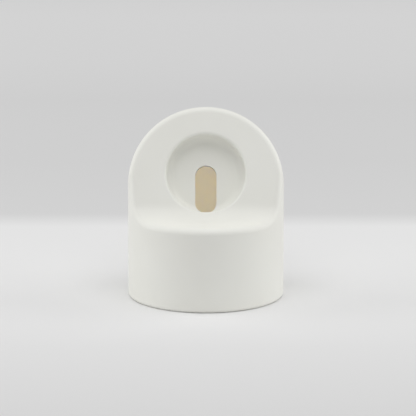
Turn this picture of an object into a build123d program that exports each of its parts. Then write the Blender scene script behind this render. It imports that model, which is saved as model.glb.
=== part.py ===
from build123d import *
from math import cos, radians, sin
import os

# A charging dock for a smartwatch, moulded in one piece of soft silicone.
# Millimetres and degrees. The dock stands on z = 0 on its round base, and its cradle faces -Y.

# Round base and the ledge on it
base_diameter = 58.5
base_edge_chamfer = 0.8
ledge_height = 31.8
ledge_depth = 16.4

# Tilted cradle: its face leans back from upright, and the arch is measured along that face
cradle_tilt = 21.5
cradle_foot_radius = 9.0
arch_rise = 14.0
arch_inset = 0.2
arch_side_flare = 10.0

# Rim around the ledge and the cradle's face, and the ridge behind the arch
rim_radius = 2.2
ridge_radius = 1.0

# Recess for the round charging puck
puck_diameter = 29.1
puck_clearance = 0.1
recess_rise = 3.6
recess_depth = 7.0
recess_corner_radius = 3.0
recess_lip_radius = 1.2

# Slot from the middle of the recess down to its edge, which the plug and lead go through
plug_slot_width = 8.0
plug_slot_drop = 10.2

# Hollow inside, open below, with a cup standing in it behind the recess
wall = 4.0
cup_wall = 3.0
cup_floor = 3.0

# Notch for the lead at the back of the base
lead_notch_width = 6.0
lead_notch_height = 7.0

base_radius = base_diameter / 2
arch_radius = base_radius - arch_inset
recess_radius = puck_diameter / 2 + puck_clearance
cup_radius = recess_radius + cup_wall
cup_depth = recess_depth + cup_floor
reach = 2 * base_diameter

# The foot is the line where the flat of the cradle's face would meet the ledge
foot = Vector(0, ledge_depth - base_radius, ledge_height)
cradle_up = Vector(0, sin(radians(cradle_tilt)), cos(radians(cradle_tilt)))
cradle_out = Vector(0, -cos(radians(cradle_tilt)), sin(radians(cradle_tilt)))
crest = foot + cradle_up * reach

# The base circle starts at the back, which keeps its seam out of the rim's fillet
base_plane = Plane((0, 0, 0), x_dir=(0, 1, 0), z_dir=(0, 0, 1))
arch_plane = Plane(foot + cradle_up * arch_rise, x_dir=(1, 0, 0), z_dir=cradle_out)
recess_centre = arch_plane.origin + cradle_up * recess_rise
recess_plane = Plane(recess_centre, x_dir=(1, 0, 0), z_dir=cradle_out)
recess_floor_centre = recess_centre - cradle_out * recess_depth


def side_view(inset):
    """Ledge, foot and tilted face seen from the side, with the walls moved inwards by inset."""
    with BuildSketch(Plane.YZ) as view:
        with BuildLine():
            Polyline(
                (-reach, -reach),
                (-reach, foot.Z),
                (foot.Y, foot.Z),
                (crest.Y, crest.Z),
                (reach, crest.Z),
                (reach, -reach),
                close=True,
            )
        make_face()
        fillet(view.vertices().sort_by_distance((foot.Y, foot.Z, 0))[0], cradle_foot_radius)
        if inset:
            offset(amount=-inset)
    return view.sketch


def arch_view(inset):
    """Arch seen square to the tilted face, with its sides opening out below the round."""
    with BuildSketch(arch_plane) as view:
        with BuildLine():
            round_span = 180 - 2 * arch_side_flare
            arc = CenterArc((0, 0), arch_radius - inset, arch_side_flare, round_span)
            right = PolarLine(arc @ 0, reach, angle=arch_side_flare - 90)
            left = PolarLine(arc @ 1, reach, angle=270 - arch_side_flare)
            Line(right @ 1, left @ 1)
        make_face()
    return view.sketch


def arched_round(inset):
    """Round base carried up into the arch as one solid, its walls moved inwards by inset."""
    with BuildPart() as form:
        with BuildSketch(base_plane):
            Circle(base_radius - inset)
        extrude(amount=reach)
        extrude(arch_view(inset), amount=reach, both=True, mode=Mode.INTERSECT)
    return form.part


# The core leaves the hollow, and the cup is cut out of it
with BuildPart() as core:
    add(arched_round(wall))
    extrude(side_view(wall), amount=base_radius, both=True, mode=Mode.INTERSECT)
    with BuildSketch(recess_plane):
        Circle(cup_radius)
    extrude(amount=-cup_depth, mode=Mode.SUBTRACT)

with BuildPart() as dock_body:
    add(arched_round(0))
    extrude(side_view(0), amount=base_radius, both=True, mode=Mode.INTERSECT)
    fillet(dock_body.edges(Select.NEW), rim_radius)
    ridge = dock_body.edges().filter_by(GeomType.BSPLINE).group_by(Axis.Y)[-1]
    fillet(ridge, ridge_radius)
    chamfer(dock_body.edges().group_by(Axis.Z)[0], base_edge_chamfer)

    with BuildSketch(recess_plane.offset(ledge_depth)):
        Circle(recess_radius)
    extrude(amount=-ledge_depth - recess_depth, mode=Mode.SUBTRACT)
    fillet(dock_body.edges(Select.NEW), recess_lip_radius)
    recess_floor = dock_body.faces().sort_by_distance(recess_floor_centre)[0]
    fillet(recess_floor.edges(), recess_corner_radius)

    add(core.part, mode=Mode.SUBTRACT)

    with BuildSketch(recess_plane):
        with Locations((0, -plug_slot_drop / 2)):
            SlotCenterToCenter(plug_slot_drop, plug_slot_width, rotation=90)
    extrude(amount=-cup_depth - cup_floor, mode=Mode.SUBTRACT)

    with BuildSketch(Plane.XZ):
        SlotCenterToCenter(2 * lead_notch_height - lead_notch_width, lead_notch_width, rotation=90)
    extrude(amount=-base_diameter, mode=Mode.SUBTRACT)

dock_body.part.label = "dock_body"
os.makedirs("parts", exist_ok=True)
export_step(dock_body.part, "parts/dock_body.step")
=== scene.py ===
"""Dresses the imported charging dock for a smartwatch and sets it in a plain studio.

All lengths are in metres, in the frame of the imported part: +Z is up and -Y is the front.
"""

import logging
from dataclasses import dataclass, field, replace
from enum import Enum
from math import cos, hypot, radians, sin
from typing import Self

import bpy
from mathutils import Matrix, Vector
from mathutils.kdtree import KDTree

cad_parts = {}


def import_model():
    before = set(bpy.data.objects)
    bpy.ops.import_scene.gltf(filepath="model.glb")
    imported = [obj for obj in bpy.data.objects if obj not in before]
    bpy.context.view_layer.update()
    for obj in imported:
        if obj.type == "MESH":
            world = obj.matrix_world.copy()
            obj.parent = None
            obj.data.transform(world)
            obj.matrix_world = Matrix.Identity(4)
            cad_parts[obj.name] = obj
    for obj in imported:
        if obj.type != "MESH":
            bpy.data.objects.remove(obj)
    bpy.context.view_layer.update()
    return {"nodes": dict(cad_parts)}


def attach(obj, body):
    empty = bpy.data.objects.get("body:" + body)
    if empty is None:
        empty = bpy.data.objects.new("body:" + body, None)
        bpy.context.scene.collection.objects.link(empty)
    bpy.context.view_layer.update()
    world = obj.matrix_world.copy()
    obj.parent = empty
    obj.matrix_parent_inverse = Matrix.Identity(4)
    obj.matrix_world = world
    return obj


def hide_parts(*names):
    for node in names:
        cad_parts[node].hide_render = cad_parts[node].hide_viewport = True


LOG = logging.getLogger("charging_dock")
MM = 0.001
BODY = "root"
CAD_NODE = "dock_body"
QUARTER_TURN = radians(90.0)

Colour = tuple[float, float, float]
Point = tuple[float, float, float]
Socket = bpy.types.NodeSocket


class Tone(Enum):
    """Parts of the moulding that take a material of their own, the slot's and the hollow's with
    painted light in their tints.
    """

    OUTSIDE = 0
    SLOT = 1
    HOLLOW = 2


@dataclass(frozen=True)
class DockForm:
    """Sizes of the moulding, by which its faces and edges are told apart."""

    base_radius: float = 29.25 * MM
    base_edge_chamfer: float = 0.8 * MM
    ledge_height: float = 31.8 * MM
    ledge_depth: float = 16.4 * MM
    tilt: float = radians(21.5)
    arch_radius: float = 29.05 * MM
    arch_rise: float = 14.0 * MM
    recess_rise: float = 3.6 * MM
    recess_radius: float = 14.65 * MM
    recess_depth: float = 7.0 * MM
    wall: float = 4.0 * MM
    cup_wall: float = 3.0 * MM
    cup_floor: float = 3.0 * MM
    notch_width: float = 6.0 * MM
    slack: float = 0.1 * MM

    @property
    def up(self) -> Vector:
        """Direction up along the tilted face."""
        return Vector((0.0, sin(self.tilt), cos(self.tilt)))

    @property
    def back(self) -> Vector:
        """Direction square to the tilted face, into the dock."""
        return Vector((0.0, cos(self.tilt), -sin(self.tilt)))

    @property
    def foot(self) -> Vector:
        """Middle of the line where the flat of the face would meet the ledge."""
        return Vector((0.0, self.ledge_depth - self.base_radius, self.ledge_height))

    @property
    def recess_centre(self) -> Vector:
        """Middle of the recess's mouth, on the face."""
        return self.foot + self.up * (self.arch_rise + self.recess_rise)

    def at_base(self, point: Vector) -> bool:
        """Tells whether a point lies on the base's edges, away from the notch."""
        in_notch = abs(point.x) < self.notch_width / 2 + self.slack and point.y > 0.0
        return point.z < self.base_edge_chamfer + self.slack and not in_notch

    def tone(self, corners: list[Vector]) -> Tone:
        """Tells which part of the moulding a face lies on, and so which faces take the slot's and
        the hollow's painted light.

        Args:
            corners: The face's corners.

        Returns:
            The slot for its own walls, the hollow for its walls and the back of the cup, and
            the outside for all the rest.
        """
        if self.in_slot(sum(corners, Vector()) / len(corners)):
            return Tone.SLOT
        return Tone.HOLLOW if all(map(self.in_hollow, corners)) else Tone.OUTSIDE

    def in_slot(self, point: Vector) -> bool:
        """Tells whether a point on the surface belongs to the slot's walls.

        Args:
            point: A point on the moulding's surface.

        Returns:
            True within the recess's round, between its floor and the back of the cup.
        """
        depth = (point - self.foot).dot(self.back) - self.recess_depth
        off_axis = (point - self.recess_centre).cross(self.back).length
        return off_axis < self.recess_radius and self.slack < depth < self.cup_floor - self.slack

    def in_hollow(self, point: Vector) -> bool:
        """Tells whether a point on the surface lies on the inner side of the walls.

        Args:
            point: A point on the moulding's surface.

        Returns:
            True for the hollow's walls and the outside of the cup that stands in it.
        """
        depth = (point - self.foot).dot(self.back)
        rise = (point - self.foot).dot(self.up) - self.arch_rise
        off_axis = (point - self.recess_centre).cross(self.back).length
        in_cup_wall = off_axis < self.recess_radius + self.cup_wall / 2
        if in_cup_wall and depth < self.recess_depth + self.cup_floor / 2:
            return False
        inside_round = hypot(point.x, point.y) < self.base_radius - self.wall / 2
        inside_arch = hypot(point.x, max(rise, 0.0)) < self.arch_radius - self.wall / 2
        # Round the foot the inner wall lies less than half a wall behind the ledge and the face
        least_depth = self.wall / 4
        under_ledge = point.z < self.ledge_height - least_depth
        behind_face = depth > least_depth
        return inside_round and inside_arch and (under_ledge or behind_face)


@dataclass(frozen=True)
class Relief:
    """Fine unevenness that a mould leaves on a surface."""

    scale: float
    depth: float
    strength: float
    detail: float = 1.0


class NodeGraph:
    """Adds nodes to a material and joins them up."""

    def __init__(self, material: bpy.types.Material) -> None:
        """Starts from the material's own shader.

        Args:
            material: The material that the nodes go into.
        """
        material.use_nodes = True
        self.tree = material.node_tree
        self.shader = self.tree.nodes["Principled BSDF"]
        self.place = self.tree.nodes.new("ShaderNodeTexCoord").outputs["Object"]

    def link(self, out: Socket, into: Socket) -> None:
        """Joins one socket to another."""
        self.tree.links.new(out, into)

    def noise(self, scale: float, detail: float) -> Socket:
        """Adds a noise that reads the piece's own place.

        Args:
            scale: Waves to the metre.
            detail: Octaves on top of the first.

        Returns:
            The noise's value.
        """
        node = self.tree.nodes.new("ShaderNodeTexNoise")
        node.inputs["Scale"].default_value = scale
        node.inputs["Detail"].default_value = detail
        self.link(self.place, node.inputs["Vector"])
        return node.outputs["Fac"]

    def along(self, axis: str, start: float, end: float) -> Socket:
        """Reads how far along an axis the surface lies.

        Args:
            axis: The axis's letter.
            start: The place that is read as 0.
            end: The place that is read as 1.

        Returns:
            The share of the way from start to end.
        """
        split = self.tree.nodes.new("ShaderNodeSeparateXYZ")
        self.link(self.place, split.inputs["Vector"])
        node = self.tree.nodes.new("ShaderNodeMapRange")
        node.inputs["From Min"].default_value = start
        node.inputs["From Max"].default_value = end
        self.link(split.outputs[axis], node.inputs["Value"])
        return node.outputs["Result"]

    def ranged(self, value: Socket, low: float, high: float) -> Socket:
        """Stretches a value from 0..1 to a range.

        Args:
            value: The value to stretch.
            low: What 0 becomes.
            high: What 1 becomes.

        Returns:
            The stretched value.
        """
        node = self.tree.nodes.new("ShaderNodeMapRange")
        node.inputs["To Min"].default_value = low
        node.inputs["To Max"].default_value = high
        self.link(value, node.inputs["Value"])
        return node.outputs["Result"]

    def ramp(self, value: Socket, stops: list[tuple[float, Colour]]) -> Socket:
        """Turns a value into a colour through a ramp.

        Args:
            value: The value, from 0 to 1.
            stops: Each stop's place and colour.

        Returns:
            The ramp's colour.
        """
        node = self.tree.nodes.new("ShaderNodeValToRGB")
        node.color_ramp.interpolation = "LINEAR"
        elements = node.color_ramp.elements
        while len(elements) < len(stops):
            elements.new(1.0)
        for element, (position, colour) in zip(elements, stops):
            element.position = position
            element.color = (*colour, 1.0)
        self.link(value, node.inputs["Fac"])
        return node.outputs["Color"]

    def bump(self, relief: Relief, under: Socket | None = None) -> Socket:
        """Adds relief to the surface.

        Args:
            relief: The relief to add.
            under: A coarser relief that this one lies on.

        Returns:
            The bumped normal.
        """
        node = self.tree.nodes.new("ShaderNodeBump")
        node.inputs["Strength"].default_value = relief.strength
        node.inputs["Distance"].default_value = relief.depth
        self.link(self.noise(relief.scale, relief.detail), node.inputs["Height"])
        if under is not None:
            self.link(under, node.inputs["Normal"])
        return node.outputs["Normal"]


@dataclass(frozen=True)
class SoftSilicone:
    """Matt, warm white silicone with the fine grain of a spark-eroded mould."""

    name: str
    tint: Colour = (0.88, 0.88, 0.831)
    cloud_tint: Colour = (0.865, 0.863, 0.811)
    cloud_scale: float = 45.0
    cloud_detail: float = 2.0
    cloud_edges: tuple[float, float] = (0.35, 0.65)
    roughness: tuple[float, float] = (0.5, 0.62)
    smudge_scale: float = 160.0
    smudge_detail: float = 3.0
    ripple: Relief = Relief(scale=260.0, depth=0.03 * MM, strength=0.25)
    grain: Relief = Relief(scale=5200.0, depth=0.012 * MM, strength=0.5)
    specular: float = 0.4
    glow: float = 0.0
    glow_reach: float = 95.0 * MM
    glow_radius: Colour = (1.0, 0.54, 0.25)

    def material(self) -> bpy.types.Material:
        """Makes the material.

        Returns:
            The silicone, with its clouding, its sheen's unevenness and its grain.
        """
        material = bpy.data.materials.new(self.name)
        graph = NodeGraph(material)
        shader = graph.shader
        clouds = graph.noise(self.cloud_scale, self.cloud_detail)
        stops = list(zip(self.cloud_edges, (self.cloud_tint, self.tint)))
        graph.link(graph.ramp(clouds, stops), shader.inputs["Base Color"])
        smudges = graph.noise(self.smudge_scale, self.smudge_detail)
        graph.link(graph.ranged(smudges, *self.roughness), shader.inputs["Roughness"])
        surface = graph.bump(self.grain, under=graph.bump(self.ripple))
        graph.link(surface, shader.inputs["Normal"])
        shader.inputs["Specular IOR Level"].default_value = self.specular
        shader.inputs["Subsurface Weight"].default_value = self.glow
        shader.inputs["Subsurface Scale"].default_value = self.glow_reach
        shader.inputs["Subsurface Radius"].default_value = self.glow_radius
        return material


@dataclass
class MouldedDock:
    """The dock's one moulding, with the base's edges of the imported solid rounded."""

    form: DockForm = field(default_factory=DockForm)
    weld: float = 0.001 * MM
    flat_angle: float = radians(0.3)
    sharp_angle: float = radians(28.0)
    edge_round: float = 0.35 * MM
    round_steps: int = 3
    outside: SoftSilicone = SoftSilicone("silicone_outside")
    # The slot's walls take a paler tint than the silicone's own: painted light that lifts the
    # shade on them, on top of a short real glow of light through the silicone
    slot: SoftSilicone = SoftSilicone(
        "silicone_slot_painted_light",
        tint=(0.97, 0.95, 0.89),
        cloud_tint=(0.955, 0.935, 0.875),
        glow=1.0,
        glow_reach=1.0 * MM,
        glow_radius=(1.0, 0.9, 0.7),
    )
    # The hollow takes a warmer tint than the silicone's own: a painted warm glow, on top of the
    # real glow of light passing through the walls
    hollow: SoftSilicone = SoftSilicone(
        "silicone_hollow_painted_glow", tint=(0.93, 0.87, 0.76), cloud_tint=(0.915, 0.855, 0.74), glow=1.0
    )

    def build(self, node: bpy.types.Object) -> bpy.types.Object:
        """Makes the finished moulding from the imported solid.

        Args:
            node: The CAD node that the moulding stands for.

        Returns:
            The finished piece.
        """
        piece = bpy.data.objects.new("dock_moulding", node.data.copy())
        bpy.context.scene.collection.objects.link(piece)
        bpy.ops.object.select_all(action="DESELECT")
        bpy.context.view_layer.objects.active = piece
        piece.select_set(True)
        self._weld(piece)
        self._round(piece)
        self._shade(piece)
        self._carry_normals(piece, node)
        self._dress(piece)
        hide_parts(CAD_NODE)
        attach(piece, BODY)
        return piece

    def _weld(self, piece: bpy.types.Object) -> None:
        """Welds the loose triangles and clears the lines off the flat faces.

        Args:
            piece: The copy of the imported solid.
        """
        bpy.ops.mesh.customdata_custom_splitnormals_clear()
        bpy.ops.object.mode_set(mode="EDIT")
        bpy.ops.mesh.select_mode(type="EDGE")
        bpy.ops.mesh.select_all(action="SELECT")
        bpy.ops.mesh.remove_doubles(threshold=self.weld)
        bpy.ops.mesh.dissolve_limited(angle_limit=self.flat_angle)
        bpy.ops.object.mode_set(mode="OBJECT")
        LOG.info("%s welded: %d faces", piece.name, len(piece.data.polygons))

    def _round(self, piece: bpy.types.Object) -> None:
        """Rounds the sharp edges of the base and of the hollow's mouth.

        Args:
            piece: The welded moulding.
        """
        bpy.ops.object.mode_set(mode="EDIT")
        bpy.ops.mesh.select_all(action="DESELECT")
        bpy.ops.mesh.edges_select_sharp(sharpness=self.sharp_angle)
        bpy.ops.object.mode_set(mode="OBJECT")
        mesh = piece.data
        standing_out = self._outward_edges(mesh)
        for edge in mesh.edges:
            start, end = (mesh.vertices[index].co for index in edge.vertices)
            at_base = self.form.at_base((start + end) / 2)
            edge.select = edge.select and at_base and edge.key in standing_out
        bpy.ops.object.mode_set(mode="EDIT")
        bpy.ops.mesh.bevel(
            offset=self.edge_round,
            segments=self.round_steps,
            affect="EDGES",
            clamp_overlap=False,
            miter_outer="ARC",
        )
        bpy.ops.mesh.select_all(action="DESELECT")
        bpy.ops.object.mode_set(mode="OBJECT")

    def _outward_edges(self, mesh: bpy.types.Mesh) -> set[tuple[int, int]]:
        """Finds the edges whose two faces turn away from each other.

        Args:
            mesh: The moulding's mesh.

        Returns:
            The keys of the edges that stand out from the surface.
        """
        first_face: dict[tuple[int, int], bpy.types.MeshPolygon] = {}
        outward = set()
        for face in mesh.polygons:
            for key in face.edge_keys:
                other = first_face.setdefault(key, face)
                if other is not face and other.normal.dot(face.center - other.center) < 0.0:
                    outward.add(key)
        return outward

    def _shade(self, piece: bpy.types.Object) -> None:
        """Shades the moulding smooth, apart from its sharp edges.

        Args:
            piece: The rounded moulding.
        """
        bpy.ops.object.shade_smooth_by_angle(angle=self.sharp_angle)
        weighted = piece.modifiers.new("weighted", "WEIGHTED_NORMAL")
        weighted.keep_sharp = True
        bpy.ops.object.modifier_apply(modifier=weighted.name)

    def _carry_normals(self, piece: bpy.types.Object, node: bpy.types.Object) -> None:
        """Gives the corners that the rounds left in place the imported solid's own normals.

        Args:
            piece: The shaded moulding.
            node: The CAD node that carries the normals.
        """
        solid, mesh = node.data, piece.data
        corners = KDTree(len(solid.loops))
        for loop in solid.loops:
            corners.insert(solid.vertices[loop.vertex_index].co, loop.index)
        corners.balance()
        normals = [corner.vector.copy() for corner in mesh.corner_normals]
        for face in mesh.polygons:
            for index in face.loop_indices:
                spot = mesh.vertices[mesh.loops[index].vertex_index].co
                found = corners.find_range(spot, self.weld)
                choices = [solid.corner_normals[corner].vector for _, corner, _ in found]
                if choices:
                    normals[index] = max(choices, key=face.normal.dot).copy()
        mesh.normals_split_custom_set(normals)

    def _dress(self, piece: bpy.types.Object) -> None:
        """Gives the outside, the slot and the hollow their materials, the slot's and the hollow's
        with painted light in their tints.

        Args:
            piece: The finished mesh.
        """
        finishes_with_painted_light = {Tone.OUTSIDE: self.outside, Tone.SLOT: self.slot, Tone.HOLLOW: self.hollow}
        piece.data.materials.clear()
        for tone in Tone:
            piece.data.materials.append(finishes_with_painted_light[tone].material())
        vertices = piece.data.vertices
        for face in piece.data.polygons:
            corners = [vertices[index].co for index in face.vertices]
            face.material_index = self.form.tone(corners).value


@dataclass(frozen=True)
class Paper:
    """Matt studio paper whose tone is painted light and shade: light round the dock, darker close
    behind it and palest far back, where it makes up for the lamps' fall-off.
    """

    # How far behind the dock's middle each stop of painted light and shade lies, and how light it
    # is, from front to back
    painted_light_tones: tuple[tuple[float, float], ...] = (
        (-0.300, 0.645),
        (-0.188, 0.690),
        (-0.076, 0.769),
        (-0.044, 0.812),
        (0.004, 0.845),
        (0.052, 0.834),
        (0.108, 0.842),
        (0.130, 0.705),
        (0.228, 0.718),
        (0.356, 0.769),
        (0.452, 0.858),
        (0.570, 0.952),
        (0.600, 0.960),
    )
    roughness: float = 0.9
    specular: float = 0.1

    def material(self) -> bpy.types.Material:
        """Makes the material.

        Returns:
            The paper, whose painted light and shade follow the place from front to back.
        """
        material = bpy.data.materials.new("studio_paper")
        graph = NodeGraph(material)
        front, back = self.painted_light_tones[0][0], self.painted_light_tones[-1][0]
        stops = [((y - front) / (back - front), (tone, tone, tone)) for y, tone in self.painted_light_tones]
        colour = graph.ramp(graph.along("Y", front, back), stops)
        graph.link(colour, graph.shader.inputs["Base Color"])
        graph.shader.inputs["Roughness"].default_value = self.roughness
        graph.shader.inputs["Specular IOR Level"].default_value = self.specular
        return material


@dataclass
class Table:
    """A wide sheet of studio paper that the dock stands on."""

    side: float = 12.0
    paper: Paper = Paper()

    def build(self) -> bpy.types.Object:
        """Lays the sheet out.

        Returns:
            The sheet, marked as stage.
        """
        bpy.ops.object.select_all(action="DESELECT")
        bpy.ops.mesh.primitive_plane_add(size=self.side, location=(0.0, 0.0, 0.0))
        sheet = bpy.context.object
        sheet.name = "studio_table"
        sheet.data.materials.append(self.paper.material())
        return sheet


@dataclass(frozen=True)
class Softbox:
    """A square lamp behind a diffuser."""

    name: str
    place: Point
    aim: Point
    side: float
    power: float

    def mirrored(self, name: str) -> Self:
        """Gives a lamp like this one on the dock's other side."""
        across, back, up = self.place
        return replace(self, name=name, place=(-across, back, up))

    def build(self) -> bpy.types.Object:
        """Hangs the lamp at its place and turns it to its aim.

        Returns:
            The lamp.
        """
        data = bpy.data.lights.new(self.name, "AREA")
        data.shape = "SQUARE"
        data.size = self.side
        data.energy = self.power
        lamp = bpy.data.objects.new(self.name, data)
        lamp.location = self.place
        facing = Vector(self.aim) - Vector(self.place)
        lamp.rotation_euler = facing.to_track_quat("-Z", "Y").to_euler()
        bpy.context.scene.collection.objects.link(lamp)
        return lamp


@dataclass
class Studio:
    """Soft light from both sides and from above, in a bright white room."""

    right_lamp: Softbox = Softbox(
        "softbox_right", place=(0.7, 0.1, 0.3), aim=(0.0, 0.0, 0.03), side=0.6, power=1.85
    )
    top_lamp: Softbox = Softbox(
        "softbox_top", place=(0.0, -0.28, 0.86), aim=(0.0, 0.0, 0.0), side=0.9, power=3.6
    )
    room_colour: Colour = (1.0, 1.0, 1.0)
    room_light: float = 0.418
    table: Table = field(default_factory=Table)

    def build(self) -> None:
        """Sets up the room, its lamps and the table."""
        world = bpy.data.worlds.new("white_room")
        world.use_nodes = True
        room = world.node_tree.nodes["Background"]
        room.inputs["Color"].default_value = (*self.room_colour, 1.0)
        room.inputs["Strength"].default_value = self.room_light
        bpy.context.scene.world = world
        bpy.context.scene.view_settings.view_transform = "Standard"
        for lamp in (self.right_lamp.mirrored("softbox_left"), self.right_lamp, self.top_lamp):
            lamp.build()
        self.table.build()


@dataclass(frozen=True)
class LongLens:
    """A camera well back from the dock, which looks down on it a little."""

    look_down: float = radians(13.4)
    distance: float = 1.5
    picture_side: int = 416
    pixels_to_metre: float = 2660.0
    axis_row: float = 294.2
    aside: float = 0.8 * MM
    sight: float = 20.0

    def build(self) -> bpy.types.Object:
        """Places the camera and makes it the scene's own.

        Returns:
            The camera.
        """
        data = bpy.data.cameras.new("camera")
        data.lens = self.pixels_to_metre * self.distance * data.sensor_width / self.picture_side
        data.clip_end = self.sight
        camera = bpy.data.objects.new("camera", data)
        rise = (self.axis_row - self.picture_side / 2) / self.pixels_to_metre / cos(self.look_down)
        target = Vector((self.aside, 0.0, rise))
        outward = Vector((0.0, -cos(self.look_down), sin(self.look_down)))
        camera.location = target + outward * self.distance
        camera.rotation_euler = (QUARTER_TURN - self.look_down, 0.0, 0.0)
        bpy.context.scene.collection.objects.link(camera)
        bpy.context.scene.camera = camera
        return camera


def main() -> None:
    """Builds the dock, the studio and the camera."""
    logging.basicConfig(level=logging.INFO, format="%(name)s: %(message)s")
    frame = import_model()
    piece = MouldedDock().build(frame["nodes"][CAD_NODE])
    LOG.info("%s: %d faces", piece.name, len(piece.data.polygons))
    Studio().build()
    camera = LongLens().build()
    LOG.info("%s: lens %.0f mm", camera.name, camera.data.lens)


if __name__ == "__main__":
    main()
